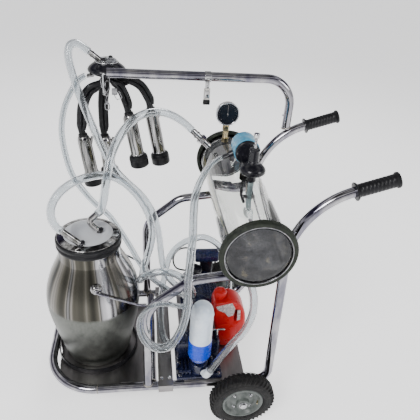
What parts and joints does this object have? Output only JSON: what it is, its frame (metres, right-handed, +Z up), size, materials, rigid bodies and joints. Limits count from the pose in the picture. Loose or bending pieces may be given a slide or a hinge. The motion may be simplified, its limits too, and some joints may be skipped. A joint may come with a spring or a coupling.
{
  "type": "milking machine",
  "caption": "Trolley milking machine: a steel tube frame on wheels with a milk bucket, clear vacuum tank, vane pump and motor, and a cluster of teatcups on a hanger arm.",
  "frame": {"origin": "floor level, at the middle of the bounding box of the machine without its free hoses", "axes": "+X from the bucket towards the push handles, +Y towards the side with the hanger arm, +Z up"},
  "size_m": [0.9422, 0.6645, 1.0258],
  "materials": {
    "tube_steel": "bright polished stainless tube",
    "tray_steel": "dull sheet steel",
    "polished_steel": "mirror polished stainless steel",
    "bright_steel": "bright plated steel",
    "wheel_paint": "satin grey paint",
    "tyre_rubber": "matte black rubber with chevron tread",
    "grip_plastic": "black, satin to glossy",
    "black_rubber": "satin black rubber",
    "clear_plastic": "clear and glossy",
    "gauge_brass": "brass case with a bright bezel",
    "blue_plastic": "sky-blue cap on a black body",
    "pump_paint": "dark navy enamel",
    "bottle_plastic": "milky clear over a bright blue lower part",
    "red_plastic": "red, glossy"
  },
  "bodies": {
    "frame": {"front_loop": "tube_steel", "side_tube_near": "tube_steel", "side_tube_far": "tube_steel", "leg_near": "tube_steel", "leg_far": "tube_steel", "cross_front": "tube_steel", "front_foot": "tube_steel", "axle_near": "tube_steel", "axle_far": "tube_steel", "hanger_arm": "tube_steel", "arm_socket": "tube_steel", "channel_strip": "tray_steel", "pump_tray": "tray_steel", "bucket_floor": "tray_steel", "bucket": "polished_steel", "teatcup_1": "polished_steel", "teatcup_2": "polished_steel", "teatcup_3": "polished_steel", "teatcup_4": "polished_steel", "claw_hook": "bright_steel", "tank_nozzle": "bright_steel", "pump_elbow": "bright_steel", "grip_near": "grip_plastic", "grip_far": "grip_plastic", "claw": "grip_plastic", "regulator": "grip_plastic", "cup_tubes_1": "black_rubber", "cup_tubes_2": "black_rubber", "cup_tubes_3": "black_rubber", "cup_tubes_4": "black_rubber", "tank_ring_near": "black_rubber", "tank_ring_far": "black_rubber", "tank_tube": "clear_plastic", "tank_end_near": "clear_plastic", "tank_end_far": "clear_plastic", "air_hose": "clear_plastic", "milk_hose": "clear_plastic", "pulse_hose": "clear_plastic", "exhaust_hose": "clear_plastic", "inlet_hose": "clear_plastic", "gauge": "gauge_brass", "pulsator": "blue_plastic", "vane_pump": "pump_paint", "motor": "pump_paint", "oil_jar": "bottle_plastic"},
    "wheel_near": {"hub_near": "wheel_paint", "tyre_near": "tyre_rubber"},
    "wheel_far": {"hub_far": "wheel_paint", "tyre_far": "tyre_rubber"},
    "lid": {"lid": "clear_plastic", "lid_gasket": "black_rubber"},
    "bail": {"bail": "bright_steel"},
    "arm_screw": {"arm_screw": "bright_steel"},
    "strap": {"strap_clip": "tray_steel"},
    "needle": {"gauge_needle": "bright_steel"},
    "regulator_screw": {"regulator_screw": "bright_steel"},
    "lever": {"pump_lever": "bright_steel"},
    "shaft": {"drive_shaft": "bright_steel"},
    "oil_can": {"oil_can": "red_plastic"},
    "oil_cap": {"oil_cap": "red_plastic"}
  },
  "joints": [
    {"name": "wheel_near_spin", "type": "hinge", "parent": "frame", "child": "wheel_near", "pos_m": [0.1384, -0.2982, 0.103], "axis": [0, 1, 0], "continuous": true},
    {"name": "wheel_far_spin", "type": "hinge", "parent": "frame", "child": "wheel_far", "pos_m": [0.1384, 0.2558, 0.103], "axis": [0, 1, 0], "continuous": true},
    {"name": "bail_swing", "type": "hinge", "parent": "frame", "child": "bail", "pos_m": [-0.3196, -0.0182, 0.424], "axis": [0.1987, -0.9801, 0], "range_deg": [-14, 5]},
    {"name": "lid_lift", "type": "slide", "parent": "frame", "child": "lid", "axis": [0, 0, 1], "range_m": [0, 0.04], "deforming": ["air_hose", "milk_hose"]},
    {"name": "arm_screw_turn", "type": "hinge", "parent": "frame", "child": "arm_screw", "pos_m": [0.2974, 0.2208, 0.832], "axis": [0, 1, 0], "continuous": true},
    {"name": "strap_swing", "type": "hinge", "parent": "frame", "child": "strap", "pos_m": [0.0354, 0.1968, 0.953], "axis": [1, 0, 0], "range_deg": [-30, 30]},
    {"name": "needle_turn", "type": "hinge", "parent": "frame", "child": "needle", "pos_m": [0.1044, 0.1934, 0.842], "axis": [0, 1, 0], "range_deg": [-130, 130]},
    {"name": "regulator_turn", "type": "hinge", "parent": "frame", "child": "regulator_screw", "pos_m": [0.1384, -0.0662, 0.855], "axis": [0, 0, 1], "continuous": true},
    {"name": "lever_turn", "type": "hinge", "parent": "frame", "child": "lever", "pos_m": [0.0684, -0.1432, 0.245], "axis": [0, 0, 1], "range_deg": [-45, 45]},
    {"name": "shaft_spin", "type": "hinge", "parent": "frame", "child": "shaft", "pos_m": [0.0364, -0.0612, 0.202], "axis": [0, 1, 0], "continuous": true},
    {"name": "oil_can_lift", "type": "slide", "parent": "frame", "child": "oil_can", "axis": [0, 0, 1], "range_m": [0, 0.06]},
    {"name": "oil_cap_turn", "type": "hinge", "parent": "oil_can", "child": "oil_cap", "pos_m": [0.0824, -0.0732, 0.348], "axis": [0, 0, 1], "continuous": true}
  ]
}
